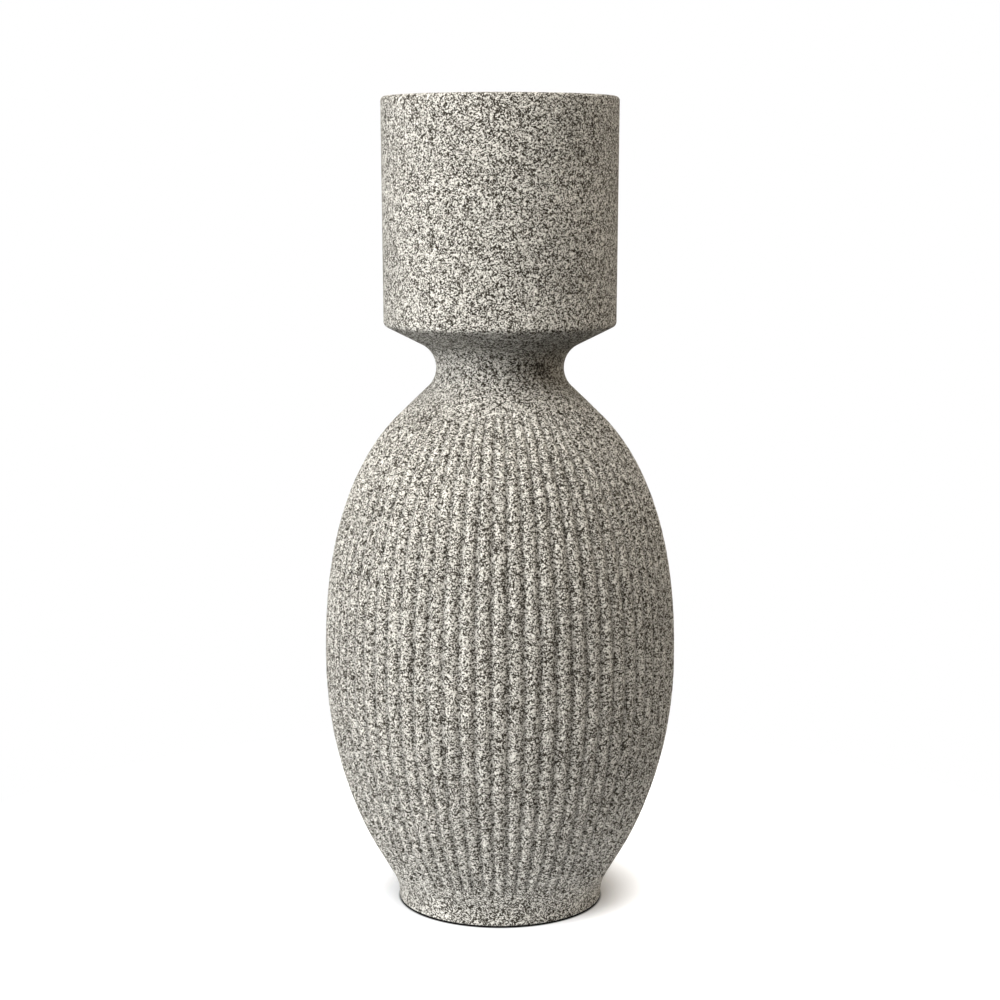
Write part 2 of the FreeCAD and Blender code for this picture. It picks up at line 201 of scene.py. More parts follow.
def quarter(end_radius, end_height, slope, steps):
    """Quarter of a rounded ellipse from the belly to an end point that it meets at a slope."""
    span = abs(end_height - belly_seam)
    ratio = end_radius / belly_radius
    fullness = 1 - math.log(ratio + slope * span / belly_radius) / math.log(ratio)
    reach = span / (1 - ratio ** fullness) ** (1 / fullness)
    points = []
    for step in range(steps + 1):
        height = belly_seam + (end_height - belly_seam) * step / steps
        share = abs(height - belly_seam) / reach
        points.append((belly_radius * (1 - share ** fullness) ** (1 / fullness), height))
    return points


# %% The outer line, from the foot to the throat
flare_centre = (FOOT_RADIUS + FLARE_ARC, FLARE_START)
flare = arc(flare_centre, FLARE_ARC, 180, 180 - math.degrees(FLARE_LEAN), steps=16)
flare_top = (flare[-1][0] + (FLARE_TOP - flare[-1][1]) * math.tan(FLARE_LEAN), FLARE_TOP)
neck_centre = (NECK_RADIUS + NECK_ARC, throat)
neck_start = (neck_centre[0] - NECK_ARC * math.cos(SHOULDER_LEAN),
              neck_centre[1] - NECK_ARC * math.sin(SHOULDER_LEAN))
shoulder = (neck_start[0] + (neck_start[1] - SHOULDER) * math.tan(SHOULDER_LEAN), SHOULDER)
foot_edge = arc((FOOT_RADIUS - FOOT_EDGE, foot_bottom + FOOT_EDGE), FOOT_EDGE, -90, 0, steps=4)
lower_quarter = quarter(*flare_top, math.tan(FLARE_LEAN), steps=72)[::-1]
upper_quarter = quarter(*shoulder, math.tan(SHOULDER_LEAN), steps=80)
collar_arc = arc(neck_centre, NECK_ARC, 180 + math.degrees(SHOULDER_LEAN), 180, steps=14)
print("flare ends at", flare_top, "and the shoulder starts at", shoulder)

# %% The outer line, from the throat to the rim
corner_out = DRUM_FOOT_RADIUS - neck_centre[0]
corner_up = DRUM_CORNER - throat
corner_reach = math.hypot(corner_out, corner_up)
underside_lean = math.atan2(corner_up, corner_out) - math.asin(NECK_ARC / corner_reach)
corner_trim = CORNER_ROUND * math.cos(underside_lean) / (1 + math.sin(underside_lean))
corner_centre = (DRUM_FOOT_RADIUS - CORNER_ROUND, DRUM_CORNER + corner_trim)
neck_arc_end = 90 + math.degrees(underside_lean)
floor_arc = arc(neck_centre, NECK_ARC, 180, neck_arc_end, steps=20)
corner = arc(corner_centre, CORNER_ROUND, math.degrees(underside_lean) - 90, 0, steps=8)
rim_start = rim - RIM_ROUND
rim_outside = arc((drum_radius - RIM_ROUND, rim_start), RIM_ROUND, 0, 90, steps=8)
rim_inside = arc((DRUM_BORE + RIM_ROUND, rim_start), RIM_ROUND, 90, 180, steps=8)
print("the drum's underside rises at", round(math.degrees(underside_lean), 1), "degrees")

# %% [markdown]
# ## Turning a section
#
# Each section is one closed ring: its outline goes up the outside, in along the joint, down the inside and
# back. `turned` sweeps it round the axis. A row of points can be finer than the next one, because the
# reeded skin needs many points and the plain inside needs few. The rows change over in the flat joints.

# %% Turn a closed outline round the axis
PLAIN = 280
BUNCHING = 0.45
SHARP = math.radians(40)


def spots_around(count, reeds=0):
    """Angles of a row of points. With reeds, they bunch up in the valleys, where the skin bends most."""
    angles = []
    for spot in range(count):
        share = spot / count
        if reeds:
            share += BUNCHING * math.sin(2 * math.pi * reeds * share) / (2 * math.pi * reeds)
        angles.append(2 * math.pi * share - math.pi / 2)
    return angles


def turned(name, rows, reeds=0):
    """A closed ring. Each row is a radius, a height and how many points go round; the last row joins the
    first one. Rows that belong to the reeded skin have more points than the plain ones."""
    points = []
    starts = []
    for radius, height, count in rows:
        starts.append(len(points))
        for angle in spots_around(count, reeds if count > PLAIN else 0):
            points.append((radius * MM * math.cos(angle), radius * MM * math.sin(angle), height * MM))
    faces = []
    for row, (start, (_, _, count)) in enumerate(zip(starts, rows)):
        after = (row + 1) % len(rows)
        above, wider = starts[after], rows[after][2]
        steps = min(count, wider)
        mine, its = count // steps, wider // steps
        for step in range(steps):
            edge = [start + (step * mine + k) % count for k in range(mine + 1)]
            back = [above + (step * its + k) % wider for k in range(its, -1, -1)]
            faces.append(edge + back)
    mesh = bpy.data.meshes.new(name)
    mesh.from_pydata(points, [], faces)
    mesh.polygons.foreach_set("use_smooth", [True] * len(faces))
    mesh.set_sharp_from_angle(angle=SHARP)
    piece = bpy.data.objects.new(name, mesh)
    bpy.context.scene.collection.objects.link(piece)
    return piece


def plain(points):
    """Points of an outline as plain rows."""
    return [(radius, height, PLAIN) for radius, height in points]


# %% [markdown]
# ## The plain sections
#
# Foot ring, neck collar, drum floor and drum wall are smooth. Sections meet in lap joints: a tongue on one
# stands in a rebate of the next, with a little room for slip. The laps lie inside the wall.

# %% Sizes of walls and laps
LAP = 6
COLLAR_LAP = 3
GAP = 0.3
POCKET_RADIUS = 68.6
FOOT_LAP_RADIUS = 72.6
FOOT_INSIDE = 61.6
LEDGE = 6
COLLAR_LAP_RADIUS = 55.92
THROAT_LAP_RADIUS = 43.35
NECK_WALL = 7.5
DRUM_LAP_RADIUS = 82.1
DRUM_KEY_RADIUS = 79.6
DRUM_KEY_TOP = 455.06

# %% Foot ring
foot_ring_skin = foot_edge + [point for point in flare if foot_edge[-1][1] < point[1] < foot_seam]
seam_rise = math.asin((foot_seam - FLARE_START) / FLARE_ARC)
foot_seam_radius = flare_centre[0] - FLARE_ARC * math.cos(seam_rise)
foot_ring = turned("foot_ring_glazed", plain(
    [(FOOT_INSIDE, foot_bottom)] + foot_ring_skin + [
        (foot_seam_radius, foot_seam),
        (FOOT_LAP_RADIUS, foot_seam), (FOOT_LAP_RADIUS, foot_seam + LAP), (POCKET_RADIUS, foot_seam + LAP),
        (POCKET_RADIUS, LEDGE), (FOOT_INSIDE, LEDGE)]))
fit_into_frame(foot_ring, "speckled_stoneware", "foot_ring")

# %% Neck collar
shoulder_line = line(shoulder, neck_start, steps=12)
seam_shift = (collar_seam - SHOULDER) * math.tan(SHOULDER_LEAN)
collar_seam_point = (shoulder[0] - seam_shift, collar_seam)
bore_arc = NECK_ARC + NECK_WALL


def bore_angle(height):
    """Angle on the inner arc of the neck at a height."""
    return 180 - math.degrees(math.asin((height - throat) / bore_arc))


collar_bore = arc(neck_centre, bore_arc, bore_angle(throat + LAP),
                  bore_angle(collar_seam + COLLAR_LAP + GAP), steps=14)
neck_collar = turned("neck_collar_glazed", plain(
    [(COLLAR_LAP_RADIUS + GAP, collar_seam), collar_seam_point]
    + [point for point in shoulder_line if point[1] > collar_seam + SEAM_ROOM] + collar_arc[1:]
    + [(THROAT_LAP_RADIUS, throat), (THROAT_LAP_RADIUS, throat + LAP)] + collar_bore
    + [(COLLAR_LAP_RADIUS + GAP, collar_seam + COLLAR_LAP + GAP)]))
fit_into_frame(neck_collar, "speckled_stoneware", "neck_collar")

# %% Drum floor
floor_bore = arc(neck_centre, bore_arc, neck_arc_end, bore_angle(throat + LAP + GAP), steps=18)
floor_rise = (DRUM_KEY_RADIUS - floor_bore[0][0]) * math.tan(underside_lean)
floor_edge = (DRUM_KEY_RADIUS, floor_bore[0][1] + floor_rise)
drum_floor = turned("drum_floor_glazed", plain(
    [(THROAT_LAP_RADIUS + GAP, throat)] + floor_arc + line(floor_arc[-1], corner[0], steps=8)[1:-1] + corner
    + [(DRUM_FOOT_RADIUS, drum_seam), (DRUM_LAP_RADIUS, drum_seam), (DRUM_LAP_RADIUS, drum_seam + LAP),
       (DRUM_KEY_RADIUS, drum_seam + LAP)] + line(floor_edge, floor_bore[0], steps=8)[:-1] + floor_bore
    + [(THROAT_LAP_RADIUS + GAP, throat + LAP + GAP)]))
fit_into_frame(drum_floor, "speckled_stoneware", "drum_floor")

# %% Drum wall
drum_wall = turned("drum_wall_glazed", plain(
    [(DRUM_LAP_RADIUS + GAP, drum_seam)] + line((DRUM_FOOT_RADIUS, drum_seam), rim_outside[0], steps=40)[:-1]
    + rim_outside + rim_inside + line(rim_inside[-1], (DRUM_BORE, DRUM_KEY_TOP), steps=40)[1:]
    + [(DRUM_KEY_RADIUS, DRUM_KEY_TOP), (DRUM_KEY_RADIUS, drum_seam + LAP + GAP),
       (DRUM_LAP_RADIUS + GAP, drum_seam + LAP + GAP)]))
fit_into_frame(drum_wall, "speckled_stoneware", "drum_wall")

# %% [markdown]
# ## The reeded body
#
# The body is turned as a smooth blank and then reeded: a rounded comb is drawn up the wall, so convex reeds
# stand side by side with narrow valleys between them. That follows a rule, so Geometry Nodes do it. The
# tree pushes each point of the skin in by the reed's cross-section, which fades out above the foot and on
# the shoulder. Drawn by hand, no valley is quite straight or even, so slow noise shifts the valleys
# sideways and varies their depth.
#
# The tree also stores how deep in a valley each point lies. The glaze reads it later, to darken the valleys
# with pooled glaze and painted shade.

# %% Blanks of the body
REEDS = 70
SEGMENTS = 16
BODY_WALL = 8
BELLY_LAP_RADIUS = 126.25
SKIN = REEDS * SEGMENTS
INSIDE_STEP = 4
REED_SHARP = math.radians(50)


def hollow(points, low, high):
    """The inside of the wall: outline points moved in square to the outline, from high to low."""
    inner = []
    for before, point, after in zip(points, points[1:], points[2:]):
        lean = (after[0] - before[0]) / (after[1] - before[1])
        if low + INSIDE_ROOM < point[1] < high - INSIDE_ROOM:
            inner.append((point[0] - BODY_WALL * math.hypot(1, lean), point[1]))
    return inner[::-1]


def skin(points):
    """Points of an outline as fine rows that can take reeds."""
    return [(radius, height, SKIN) for radius, height in points]


lower_line = [(foot_seam_radius, foot_seam)] + [p for p in flare if p[1] > foot_seam + FOOT_SEAM_ROOM]
lower_line = lower_line + line(flare[-1], flare_top, steps=8)[1:-1] + lower_quarter
upper_line = upper_quarter + [p for p in shoulder_line[1:] if p[1] < collar_seam - SEAM_ROOM]
upper_line = upper_line + [collar_seam_point]
foot_lap_top = foot_seam + LAP + GAP
lower_rows = (
    skin(lower_line) + plain([(BELLY_LAP_RADIUS, belly_seam), (BELLY_LAP_RADIUS, belly_seam + LAP)])
    + plain([(belly_radius - BODY_WALL, belly_seam + LAP)])
    + plain(hollow(lower_quarter[::INSIDE_STEP], FLARE_TOP, belly_seam))
    + plain([(POCKET_RADIUS, foot_lap_top), (FOOT_LAP_RADIUS + GAP, foot_lap_top)])
    + plain([(FOOT_LAP_RADIUS + GAP, foot_seam)]))
collar_lap_top = collar_seam + COLLAR_LAP
collar_bore_radius = collar_seam_point[0] - BODY_WALL * math.hypot(1, math.tan(SHOULDER_LEAN))
upper_rows = (
    plain([(BELLY_LAP_RADIUS + GAP, belly_seam)]) + skin(upper_line)
    + plain([(COLLAR_LAP_RADIUS, collar_seam), (COLLAR_LAP_RADIUS, collar_lap_top)])
    + plain([(collar_bore_radius - COLLAR_LAP * math.tan(SHOULDER_LEAN), collar_lap_top)])
    + plain(hollow(upper_quarter[::INSIDE_STEP], belly_seam + LAP + GAP, SHOULDER))
    + plain([(belly_radius - BODY_WALL, belly_seam + LAP + GAP)])
    + plain([(BELLY_LAP_RADIUS + GAP, belly_seam + LAP + GAP)]))
lower_body = turned("lower_body_reeded", lower_rows, REEDS)
upper_body = turned("upper_body_reeded", upper_rows, REEDS)
print("rows of the blanks:", len(lower_rows), "and", len(upper_rows))

# %% Mark the skin, so that only it is reeded
for blank, rows in ((lower_body, lower_rows), (upper_body, upper_rows)):
    marks = [float(count == SKIN) for _, _, count in rows for _ in range(count)]
    blank.data.attributes.new("skin", "FLOAT", "POINT").data.foreach_set("value", marks)
    print(blank.name, "has", int(sum(marks)), "points on its skin")

# %% The reeding tree: its inputs
reeding = bpy.data.node_groups.new("Reeding", "GeometryNodeTree")
REEDING_INPUTS = {
    "Geometry": ("NodeSocketGeometry", None),
    "Reeds": ("NodeSocketFloat", REEDS),
    "Valley depth": ("NodeSocketFloat", 2.4 * MM),
    "Foot start": ("NodeSocketFloat", 19 * MM),
    "Foot fade": ("NodeSocketFloat", 16 * MM),
    "Top end": ("NodeSocketFloat", 380 * MM),
    "Top fade": ("NodeSocketFloat", 9 * MM),
    "Wander": ("NodeSocketFloat", 0.7 * MM),
    "Wander length": ("NodeSocketFloat", 22 * MM),
    "Unevenness": ("NodeSocketFloat", 0.4),
    "Lump height": ("NodeSocketFloat", 0.6 * MM),
    "Lump length": ("NodeSocketFloat", 6 * MM),
    "Seed": ("NodeSocketFloat", 3),
    "Material": ("NodeSocketMaterial", None),
}
for name, (kind, value) in REEDING_INPUTS.items():
    socket = reeding.interface.new_socket(name, in_out="INPUT", socket_type=kind)
    if value is not None:
        socket.default_value = value
reeding.interface.new_socket("Geometry", in_out="OUTPUT", socket_type="NodeSocketGeometry")
given = add_node(reeding, "NodeGroupInput").outputs
print("the reeding tree has", len(REEDING_INPUTS), "inputs")

# %% Where a point lies: round the vase, and across its reed
HALF_REED = 0.5
place = add_node(reeding, "GeometryNodeInputPosition").outputs[0]
xyz = add_node(reeding, "ShaderNodeSeparateXYZ", {0: place}).outputs
backwards = maths(reeding, "MULTIPLY", xyz[1], -1)
angle = maths(reeding, "ARCTAN2", xyz[0], backwards)
turns = maths(reeding, "DIVIDE", angle, 2 * math.pi)
reed = maths(reeding, "MULTIPLY", turns, given["Reeds"])
across = maths(reeding, "PINGPONG", reed, HALF_REED)
from_crest = maths(reeding, "DIVIDE", across, HALF_REED)

# %% The reed's cross-section, from its crest to the middle of the valley
REED_SECTION = ((0.25, 0.06), (0.5, 0.28), (0.72, 0.66), (0.88, 0.92))
section = add_node(reeding, "ShaderNodeFloatCurve", {"Value": from_crest})
for spot, drop in REED_SECTION:
    section.mapping.curves[0].points.new(spot, drop)
section.mapping.update()
foot_top = maths(reeding, "ADD", given["Foot start"], given["Foot fade"])
top_start = maths(reeding, "SUBTRACT", given["Top end"], given["Top fade"])
fade_in = spread(reeding, xyz[2], given["Foot start"], foot_top, interpolation_type="SMOOTHSTEP")
fade_out = spread(reeding, xyz[2], top_start, given["Top end"], 1, 0, interpolation_type="SMOOTHSTEP")
fade = maths(reeding, "MULTIPLY", fade_in, fade_out)
valley = maths(reeding, "MULTIPLY", section.outputs[0], fade)

# %% Slow noise, drawn out along the height, that makes the valleys uneven
DRAW_OUT = (1.6, 1.6, 0.6)
DRIFT_SPAN = (0.25, 0.75)
NOISE_SPAN = (0.3, 0.7)
NOISE_MIDDLE = (0.5, 0.5, 0.5)
wander_scale = maths(reeding, "DIVIDE", 1, given["Wander length"])
drawn_out = add_node(reeding, "ShaderNodeVectorMath", {0: place, 1: DRAW_OUT},
                     operation="MULTIPLY").outputs[0]
drift = add_node(reeding, "ShaderNodeTexNoise",
                 {"Vector": drawn_out, "W": given["Seed"], "Scale": wander_scale, "Detail": 3},
                 noise_dimensions="4D")
drift_parts = add_node(reeding, "ShaderNodeSeparateXYZ", {0: drift.outputs["Color"]}).outputs
sideways = spread(reeding, drift_parts[0], *DRIFT_SPAN, -1, 1, clamp=False)
uneven = spread(reeding, drift_parts[1], *NOISE_SPAN)
loss = maths(reeding, "MULTIPLY", uneven, given["Unevenness"])
kept = maths(reeding, "SUBTRACT", 1, loss)
lump_scale = maths(reeding, "DIVIDE", 1, given["Lump length"])
lumps = add_node(reeding, "ShaderNodeTexNoise",
                 {"Vector": place, "W": given["Seed"], "Scale": lump_scale, "Detail": 2},
                 noise_dimensions="4D").outputs[0]

# %% How far a point moves in and sideways
cut = maths(reeding, "MULTIPLY", valley, given["Valley depth"])
cut_kept = maths(reeding, "MULTIPLY", cut, kept)
lump = maths(reeding, "MULTIPLY", lumps, given["Lump height"])
lump_faded = maths(reeding, "MULTIPLY", lump, fade)
inwards = maths(reeding, "ADD", cut_kept, lump_faded)
outwards = maths(reeding, "MULTIPLY", inwards, -1)
shift = maths(reeding, "MULTIPLY", sideways, given["Wander"])
level = add_node(reeding, "ShaderNodeVectorMath", {0: place, 1: (1, 1, 0)}, operation="MULTIPLY").outputs[0]
away = add_node(reeding, "ShaderNodeVectorMath", {0: level}, operation="NORMALIZE").outputs[0]
round_ward = add_node(reeding, "ShaderNodeVectorMath", {0: (0, 0, 1), 1: away},
                      operation="CROSS_PRODUCT").outputs[0]
move_in = add_node(reeding, "ShaderNodeVectorMath", {0: away, "Scale": outwards},
                   operation="SCALE").outputs[0]
move_round = add_node(reeding, "ShaderNodeVectorMath", {0: round_ward, "Scale": shift},
                      operation="SCALE").outputs[0]
move = add_node(reeding, "ShaderNodeVectorMath", {0: move_in, 1: move_round}, operation="ADD").outputs[0]

# %% Store the valley, move the skin, and set the material
MARK_LIMIT = 0.5
on_skin = add_node(reeding, "GeometryNodeInputNamedAttribute", {"Name": "skin"}).outputs[0]
is_skin = add_node(reeding, "FunctionNodeCompare", {0: on_skin, 1: MARK_LIMIT},
                   operation="GREATER_THAN").outputs[0]
stored = add_node(reeding, "GeometryNodeStoreNamedAttribute",
                  {"Geometry": given["Geometry"], "Selection": is_skin, "Name": "valley", "Value": valley})
moved = add_node(reeding, "GeometryNodeSetPosition",
                 {"Geometry": stored.outputs[0], "Selection": is_skin, "Offset": move})
realized = add_node(reeding, "GeometryNodeRealizeInstances", {"Geometry": moved.outputs[0]})
glazed = add_node(reeding, "GeometryNodeSetMaterial",
                  {"Geometry": realized.outputs[0], "Material": given["Material"]})
add_node(reeding, "NodeGroupOutput", {0: glazed.outputs[0]})
print("the reeding tree has", len(reeding.nodes), "nodes")

# %% [markdown]
# ## The granite glaze
#
# Speckled stoneware glaze: a matt white glaze full of crushed granite-like grog, sprayed on and fired. It
# has hardly any gloss. What the eye sees is grains, from off-white through warm grey to near-black, most
# of them a little under a millimetre wide and some three times that. They also stand up or sink in by some
# tenths of a millimetre, so the surface looks rougher where the light grazes it.
#
# Grains are cells, so cell noise draws them: each cell gets a random tone. A second, coarser set of cells
# groups some of them, and fine noise breaks up their edges. One height for the bump comes from the same
# tones, so that pale grains stand proud and dark ones are pits. A second, softer bump is the lumpy clay.

# %% Glaze: cells of random tone
GRAIN = 0.86 * MM
COARSE_GRAIN = 2.6 * MM
GRIT = 0.7 * MM
GRAIN_WARP = 0.25 * MM
RUFFLE = 1.6 * MM
GRAIN_SHARE = 0.62
COARSE_SHARE = 0.2
GRIT_SPAN = (-0.11, 0.29)

glaze = bpy.data.materials.new("matt_granite_stoneware_glaze")
glaze.use_nodes = True
paint = glaze.node_tree
paint.nodes.clear()
where = add_node(paint, "ShaderNodeTexCoord").outputs["Object"]
ruffle = add_node(paint, "ShaderNodeTexNoise", {"Vector": where, "Scale": 1 / RUFFLE, "Detail": 1})
centred = add_node(paint, "ShaderNodeVectorMath", {0: ruffle.outputs["Color"], 1: NOISE_MIDDLE},
                   operation="SUBTRACT").outputs[0]
pushed = add_node(paint, "ShaderNodeVectorMath", {0: centred, 1: (2 * GRAIN_WARP,) * 3, 2: where},
                  operation="MULTIPLY_ADD").outputs[0]
grains = add_node(paint, "ShaderNodeTexVoronoi", {"Vector": pushed, "Scale": 1 / GRAIN})
coarse = add_node(paint, "ShaderNodeTexVoronoi", {"Vector": pushed, "Scale": 1 / COARSE_GRAIN})
grit = add_node(paint, "ShaderNodeTexNoise", {"Vector": where, "Scale": 1 / GRIT, "Detail": 2}).outputs[0]
grain_tone = add_node(paint, "ShaderNodeSeparateColor", {0: grains.outputs["Color"]}).outputs[0]
coarse_tone = add_node(paint, "ShaderNodeSeparateColor", {0: coarse.outputs["Color"]}).outputs[0]

# %% Glaze: one tone out of grains, coarse grains and grit
grain_part = maths(paint, "MULTIPLY", grain_tone, GRAIN_SHARE)
with_coarse = maths(paint, "MULTIPLY_ADD", coarse_tone, COARSE_SHARE, grain_part)
grit_part = spread(paint, grit, *NOISE_SPAN, *GRIT_SPAN)
tone = maths(paint, "ADD", with_coarse, grit_part)

GLAZE_TONES = ((0.0, "1E1B15"), (0.40, "37332B"), (0.49, "8B8982"), (0.6, "C0BFB9"), (0.85, "DEDDD7"))
tones = add_node(paint, "ShaderNodeValToRGB", {0: tone})
for number, (spot, colour) in enumerate(GLAZE_TONES):
    if number < 2:
        stop = tones.color_ramp.elements[number]
        stop.position = spot
    else:
        stop = tones.color_ramp.elements.new(spot)
    stop.color = linear(colour)

# %% Glaze: cloudiness of the coat, and the valleys darkened by pooled glaze and by painted shade
CLOUD = 45 * MM
CLOUD_SHADES = (0.93, 1.05)
POOL_AND_PAINTED_SHADE_START = 0.3
POOL_AND_PAINTED_SHADE = 0.62
cloud = add_node(paint, "ShaderNodeTexNoise", {"Vector": where, "Scale": 1 / CLOUD, "Detail": 3}).outputs[0]
cloud_shade = spread(paint, cloud, *NOISE_SPAN, *CLOUD_SHADES)
# Pooled glaze and painted shade: the valleys are darkened partly because the glaze pools there and partly as
# painted shade of the creases.
in_valley = add_node(paint, "ShaderNodeAttribute", attribute_name="valley").outputs["Fac"]
pooled_and_painted_valley_shade = spread(paint, in_valley, POOL_AND_PAINTED_SHADE_START, 1, 1, POOL_AND_PAINTED_SHADE)
cloud_and_painted_valley_shade = maths(paint, "MULTIPLY", cloud_shade, pooled_and_painted_valley_shade)
colour = add_node(paint, "ShaderNodeVectorMath", {0: tones.outputs[0], "Scale": cloud_and_painted_valley_shade},
                  operation="SCALE").outputs[0]

# %% Glaze: relief and shader
RELIEF = 0.65 * MM
LUMP = 2.2 * MM
LUMP_RELIEF = 1.2 * MM
EDGE_DROP = 0.5
GLAZE_ROUGHNESS = 0.82
STONEWARE_IOR = 1.5
DULL_GLOSS = 0.2
sunk = maths(paint, "MULTIPLY_ADD", grains.outputs["Distance"], -EDGE_DROP, tone)
bump = add_node(paint, "ShaderNodeBump", {"Height": sunk, "Strength": 1, "Distance": RELIEF}).outputs[0]
lumpy = add_node(paint, "ShaderNodeTexNoise", {"Vector": where, "Scale": 1 / LUMP, "Detail": 1}).outputs[0]
rough = add_node(paint, "ShaderNodeBump",
                 {"Height": lumpy, "Distance": LUMP_RELIEF, "Normal": bump}).outputs[0]
glaze_shader = add_node(paint, "ShaderNodeBsdfPrincipled",
                        {"Base Color": colour, "Normal": rough, "Roughness": GLAZE_ROUGHNESS,
                         "IOR": STONEWARE_IOR, "Specular IOR Level": DULL_GLOSS})
add_node(paint, "ShaderNodeOutputMaterial", {0: glaze_shader.outputs[0]})
print("glaze has", len(paint.nodes), "nodes; a grain is", round(GRAIN / MM, 2), "mm wide")

# %% [markdown]
# ## Bare stoneware and felt
#
# The clay shows bare only inside, on the floor slab and the coils: buff stoneware with fine dark iron
# specks and a sandy tooth. The ring under the foot is pressed wool felt, dyed black, matted and matt.

# %% Bare stoneware
CLAY_SPECK = 1.8 * MM
SPECK_LIMIT = 0.86
SPECK_EDGE = (0.15, 0.4)
SAND = 0.9 * MM
BLUSH = 30 * MM
TOOTH = 0.25 * MM
CLAY_ROUGHNESS = 0.9
CLAY_TONES = ("B5A78F", "A3937B")
SPECK_TONE = "4A3B2E"
clay = bpy.data.materials.new("bare_buff_stoneware")
clay.use_nodes = True
body = clay.node_tree
body.nodes.clear()
where = add_node(body, "ShaderNodeTexCoord").outputs["Object"]
specks = add_node(body, "ShaderNodeTexVoronoi", {"Vector": where, "Scale": 1 / CLAY_SPECK})
speck_kind = add_node(body, "ShaderNodeSeparateColor", {0: specks.outputs["Color"]}).outputs[0]
rare = maths(body, "GREATER_THAN", speck_kind, SPECK_LIMIT)
small = spread(body, specks.outputs["Distance"], *SPECK_EDGE, 1, 0)
speck = maths(body, "MULTIPLY", rare, small)
sand = add_node(body, "ShaderNodeTexNoise", {"Vector": where, "Scale": 1 / SAND, "Detail": 3}).outputs[0]
blush = add_node(body, "ShaderNodeTexNoise", {"Vector": where, "Scale": 1 / BLUSH, "Detail": 2}).outputs[0]
buff = add_node(body, "ShaderNodeMix", {"Factor": blush, 6: linear(CLAY_TONES[0]), 7: linear(CLAY_TONES[1])},
                data_type="RGBA").outputs[2]
specked = add_node(body, "ShaderNodeMix", {"Factor": speck, 6: buff, 7: linear(SPECK_TONE)},
                   data_type="RGBA").outputs[2]
tooth = add_node(body, "ShaderNodeBump", {"Height": sand, "Distance": TOOTH}).outputs[0]
clay_shader = add_node(body, "ShaderNodeBsdfPrincipled",
                       {"Base Color": specked, "Normal": tooth, "Roughness": CLAY_ROUGHNESS,
                        "IOR": STONEWARE_IOR})
add_node(body, "ShaderNodeOutputMaterial", {0: clay_shader.outputs[0]})

# %% Pressed wool felt
FIBRE = 0.35 * MM
FIBRE_STRETCH = (1, 1, 3)
FIBRE_CURL = 1.5
NAP = 0.3 * MM
FELT_ROUGHNESS = 0.95
FELT_SHEEN = 0.3
DYE_TONES = ("141414", "2E2D2C")
felt = bpy.data.materials.new("pressed_wool_felt")
felt.use_nodes = True
wool = felt.node_tree
wool.nodes.clear()
where = add_node(wool, "ShaderNodeTexCoord").outputs["Object"]
stretched = add_node(wool, "ShaderNodeMapping", {"Vector": where, "Scale": FIBRE_STRETCH}).outputs[0]
felting = {"Vector": stretched, "Scale": 1 / FIBRE, "Detail": 4, "Distortion": FIBRE_CURL}
fibres = add_node(wool, "ShaderNodeTexNoise", felting).outputs[0]
dye = add_node(wool, "ShaderNodeMix", {"Factor": fibres, 6: linear(DYE_TONES[0]), 7: linear(DYE_TONES[1])},
               data_type="RGBA").outputs[2]
nap = add_node(wool, "ShaderNodeBump", {"Height": fibres, "Distance": NAP}).outputs[0]
felt_shader = add_node(wool, "ShaderNodeBsdfPrincipled",
                       {"Base Color": dye, "Normal": nap, "Roughness": FELT_ROUGHNESS,
                        "Sheen Weight": FELT_SHEEN})
add_node(wool, "ShaderNodeOutputMaterial", {0: felt_shader.outputs[0]})
print("materials:", glaze.name, clay.name, felt.name)

# %% [markdown]
# ## Reed the body and hang it into the frame
#
# The modifier gets its inputs by the identifier of each socket, before anything is evaluated. The result
# is then taken as a plain mesh, and the modifier is removed.

# %% Reed the blanks
identifiers = {item.name: item.identifier for item in reeding.interface.items_tree if item.in_out == "INPUT"}
for blank, node in ((lower_body, "lower_body"), (upper_body, "upper_body")):
    comb = blank.modifiers.new("reeding", "NODES")
    comb.node_group = reeding
    comb[identifiers["Material"]] = glaze
    for name, (kind, value) in REEDING_INPUTS.items():
        if value is not None:
            comb[identifiers[name]] = float(value)
    bpy.context.view_layer.update()
    reeded = bpy.data.meshes.new_from_object(blank.evaluated_get(bpy.context.evaluated_depsgraph_get()))
    blank.modifiers.remove(comb)
    blank.data = reeded
    reeded.set_sharp_from_angle(angle=REED_SHARP)
    fit_into_frame(blank, "speckled_stoneware", node)

# %% [markdown]
# ## Coil in the drum's corner, and the felt
#
# The coil is rolled clay, pressed by thumb into the corner between the drum's floor and wall. Seen from
# above it is the soft fillet round the bottom of the drum. The felt ring has a slightly rounded edge.

# %% Drum coil
COIL_REACH = 14
COIL_HOLLOW = 0.12
COIL_STEPS = 16
coil_low, coil_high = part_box("drum_coil")
coil_outside = coil_high.x / MM
coil_top = (coil_outside, coil_high.z / MM)
toe = (coil_outside - COIL_REACH * math.cos(underside_lean), coil_low.z / MM)
coil_heel = (coil_outside, toe[1] + COIL_REACH * math.sin(underside_lean))
chord = (toe[0] - coil_top[0], toe[1] - coil_top[1])
face = []
for step in range(1, COIL_STEPS):
    share = step / COIL_STEPS
    sag = 4 * COIL_HOLLOW * share * (1 - share)
    face.append((coil_top[0] + chord[0] * share - chord[1] * sag,
                 coil_top[1] + chord[1] * share + chord[0] * sag))
coil_back = line(coil_heel, coil_top, steps=6)
drum_coil = turned("drum_coil_glazed", plain([toe] + coil_back + face))
fit_into_frame(drum_coil, "speckled_stoneware", "drum_coil")

